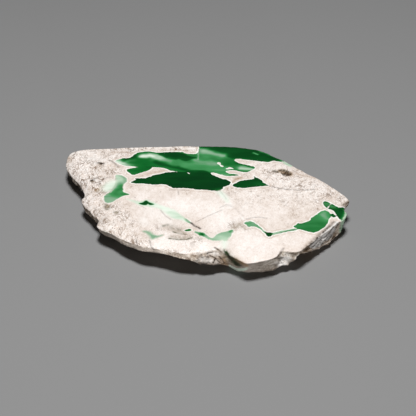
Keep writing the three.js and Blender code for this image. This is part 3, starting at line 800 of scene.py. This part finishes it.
def variscite(markNames):
    material = bpy.data.materials.new("polished_variscite_in_matrix")
    material.use_nodes = True
    tree = material.node_tree
    shader = tree.nodes["Principled BSDF"]
    add = partial(addNode, tree)
    place = add("TexCoord", {}, output="Object")
    mark = {name: add("Attribute", {}, output="Fac", attribute_name=name) for name in markNames}
    drawn = add("Mapping", {"Vector": place, "Scale": (1.0, 0.65, 1.0)})
    noise = {}
    for name, (size, detail, swirl) in look["noises"].items():
        noise[name] = add("TexNoise", {"Vector": drawn, "Scale": 1 / (size * mm), "Detail": detail,
                                       "Distortion": swirl})
    coats = []  # share and colour of each coat over the plain matrix, in order

    # matrix: noises, stronger or weaker on busy ground and on pale plates, and both lifted
    level = look["matrixLevel"]
    for name, (least, onBusy, onLight) in look["unrest"].items():
        unrest = add("Math", [mark["busy"], onBusy, least], "MULTIPLY_ADD")
        unrest = add("Math", [mark["light"], onLight, unrest], "MULTIPLY_ADD")
        spots = add("Math", [noise[name], 0.5], "SUBTRACT")
        level = add("Math", [spots, unrest, level], "MULTIPLY_ADD")
    for name, lift in look["lift"].items():
        level = add("Math", [mark[name], lift, level], "MULTIPLY_ADD")
    surface = add("ValToRGB", [level], stops=look["matrix"])

    # wavy fine cracks where the wrinkle noises are near their middle, broken up, most on busy ground
    patchy = add("MapRange", [noise["patchy"], 0.34, 0.6])
    wrinkle = 0.0
    for name, half in look["fineCracks"].items():
        middle = add("Math", [noise[name], 0.5], "SUBTRACT")
        middle = add("Math", [middle], "ABSOLUTE")
        line = add("MapRange", [middle, half, 0.4 * half])
        wrinkle = add("Math", [wrinkle, line], "MAXIMUM")
    wrinkle = add("Math", [wrinkle, patchy], "MULTIPLY")
    share = add("Math", [mark["busy"], 0.8, 0.08], "MULTIPLY_ADD")
    share = add("Math", [wrinkle, share], "MULTIPLY")
    coats.append((share, colour(look["wrinkle"])))

    # dark pinholes, few on pale plates
    speck = add("MapRange", [noise["speck"], 0.66, 0.72, 0, 0.5])
    clean = add("MapRange", [mark["light"], 0, 0.5, 1, 0.15])
    for share in (patchy, clean):
        speck = add("Math", [speck, share], "MULTIPLY")
    coats.append((speck, colour(look["wrinkle"])))

    # broken rim: thin layers, lumps and grains, what stands proud is paler, painted light from the "light"
    # strokes on the clast's front wall, smooth lips are plain grey
    layered = add("Mapping", {"Vector": place, "Scale": (0.2, 0.2, 1.0), "Rotation": (0.12, -0.16, 0.0)})
    strata = add("TexNoise", {"Vector": layered, "Scale": 1 / (look["bedding"] * mm), "Detail": 3.0})
    level = look["rimLevel"]
    for name, weight in look["rimUnrest"].items():
        source = strata if name == "strata" else noise.get(name) or mark[name]
        level = add("Math", [source, weight, level], "MULTIPLY_ADD")
    rim = add("ValToRGB", [level], stops=look["brokenStone"])
    share = add("Math", [mark["calm"], 0.75], "MULTIPLY")
    rim = add("Mix", {0: share, 6: rim, 7: colour(look["smoothLip"])}, output=2, data_type="RGBA")
    coats.append((mark["broken"], rim))

    # marks on the matrix, broken up by grain
    ragged = add("MapRange", [noise["ragged"], 0.3, 0.6, 0.4])
    for name in ("tan", "olive", "white"):
        share = add("Math", [mark[name], ragged], "MULTIPLY")
        coats.append((share, colour(look[name])))

    # green: its border wanders; outside lies a thin white halo, patchy, none round soft borders
    edge = add("Math", [noise["ragged"], 0.5], "SUBTRACT")
    edge = add("Math", [edge, look["wander"], mark["greenEdge"]], "MULTIPLY_ADD")
    crisp = add("MapRange", [mark["greenSoft"], 0.6, 0.2])
    for (name, (outer, inner)), broken in zip(look["borderLines"].items(), (patchy, ragged)):
        share = add("MapRange", [edge, outer, inner], interpolation_type="SMOOTHSTEP")
        for factor in (crisp, broken):
            share = add("Math", [share, factor], "MULTIPLY")
        coats.append((share, colour(look[name])))
    outer = add("Math", [mark["greenSoft"], -0.5], "MULTIPLY")
    inner = add("Math", [mark["greenSoft"], 0.5], "MULTIPLY")
    greenShare = add("MapRange", [edge, outer, inner], interpolation_type="SMOOTHSTEP")
    streaky = add("Mapping", {"Vector": place, "Scale": (0.3, 1.0, 1.0), "Rotation": (0.0, 0.0, 0.35)})
    drift = add("TexNoise", {"Vector": streaky, "Scale": 1 / (look["drift"] * mm), "Detail": 4.0})
    tone = add("Math", [drift, 0.5], "SUBTRACT")
    tone = add("Math", [tone, look["driftShare"], mark["greenTone"]], "MULTIPLY_ADD")
    coats.append((greenShare, add("ValToRGB", [tone], stops=look["green"])))

    # dirt in the cavities, ochre at the border to dark in the middle, and dark cracks over all, some of
    # them painted shade in the groove by the raised clast and under the front-right notch
    share = add("MapRange", [mark["hollow"], 0, 0.4])
    share = add("Math", [share, ragged], "MULTIPLY")
    coats.append((share, add("ValToRGB", [mark["hollow"]], stops=look["hollow"])))
    share = add("Math", [mark["crack_and_shade"], ragged], "MULTIPLY")
    coats.append((share, colour(look["crack_and_shade"])))
    for share, paint in coats:
        surface = add("Mix", {0: share, 6: surface, 7: paint}, output=2, data_type="RGBA")
    tree.links.new(surface, shader.inputs["Base Color"])

    # gloss: deep on the green, satin on the matrix, none where it is pitted, sawn or broken
    pitted = add("MapRange", [greenShare, 0, 1, 0.6, 0])
    pitted = add("Math", [mark["busy"], pitted], "MULTIPLY")
    sawn = add("Math", [mark["sawn"], 0.7], "MULTIPLY")
    dull = mark["broken"]
    for share in (mark["hollow"], pitted, sawn):
        dull = add("Math", [dull, share], "MAXIMUM")
    matrixRough, greenRough, brokenRough = look["polish"]
    rough = add("MapRange", [greenShare, 0, 1, matrixRough, greenRough])
    rough = add("Mix", {0: dull, 2: rough, 3: brokenRough})
    tree.links.new(rough, shader.inputs["Roughness"])
    shader.inputs["IOR"].default_value = 1.56
    shader.inputs["Specular IOR Level"].default_value = 0.3

    # fine relief: grit and layers on broken stone, wrinkles on the matrix, almost none on the green
    height = add("Math", [strata, noise["grain"]], "ADD")
    height = add("Math", [wrinkle, -0.3, height], "MULTIPLY_ADD")
    share = add("Math", [dull, 0.9, 0.02], "MULTIPLY_ADD")
    height = add("Math", [height, share], "MULTIPLY")
    bump = add("Bump", {"Height": height, "Distance": 0.25 * mm, "Strength": 0.8})
    tree.links.new(bump, shader.inputs["Normal"])
    return material


mesh, markNames = stoneMesh()
slice3d = placed("variscite_slice_stone", mesh)
mesh.materials.append(variscite(markNames))
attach(slice3d, "root")
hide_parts("variscite_slice")
print("stone made,", len(mesh.polygons), "faces")


# Plain grey floor, one large soft light overhead, a low one in front, and a faint fill all round
studio = {
    "floorSize": 3.0,  # metres
    "floorColour": "#8b8b8b",
    "floorGloss": (0.95, 0.1),  # roughness and specular level
    # place in metres, width in metres, watts
    "lights": {
        "key_light": ((0.0, -0.1, 0.54), 0.12, 3.3),
        "front_light": ((0.14, -0.75, 0.024), 0.045, 1.6),
    },
    "fill": 0.015,
}


def studioFloor():
    half = studio["floorSize"] / 2
    mesh = bpy.data.meshes.new("studio_floor")
    corners = [(-half, -half, 0), (half, -half, 0), (half, half, 0), (-half, half, 0)]
    mesh.from_pydata(corners, [], [(0, 1, 2, 3)])
    material = bpy.data.materials.new("plain_paper")
    material.use_nodes = True
    paper = material.node_tree.nodes["Principled BSDF"].inputs
    paper["Base Color"].default_value = colour(studio["floorColour"])
    paper["Roughness"].default_value, paper["Specular IOR Level"].default_value = studio["floorGloss"]
    mesh.materials.append(material)
    placed("studio_floor", mesh)


def studioLights():
    for name, (place, width, power) in studio["lights"].items():
        lamp = bpy.data.lights.new(name, "AREA")
        lamp.shape = "DISK"
        lamp.size = width
        lamp.energy = power
        light = placed(name, lamp)
        light.location = place
        light.rotation_euler = (-light.location).to_track_quat("-Z", "Y").to_euler()
    world = bpy.data.worlds.new("studio")
    world.use_nodes = True
    fill = world.node_tree.nodes["Background"].inputs
    fill["Strength"].default_value = studio["fill"]
    fill["Color"].default_value = (1, 1, 1, 1)
    bpy.context.scene.world = world


def pictureCamera():
    lens = bpy.data.cameras.new("camera")
    lens.sensor_width = view["sensor"]
    lens.lens = view["focal"] / view["pixels"] * view["sensor"]
    camera = placed("camera", lens)
    camera.location = Vector(viewEye * mm)
    camera.rotation_euler = Vector(viewAhead).to_track_quat("-Z", "Y").to_euler()
    bpy.context.scene.camera = camera


studioFloor()
studioLights()
pictureCamera()
bpy.context.scene.view_settings.view_transform = "Standard"
print("studio made")
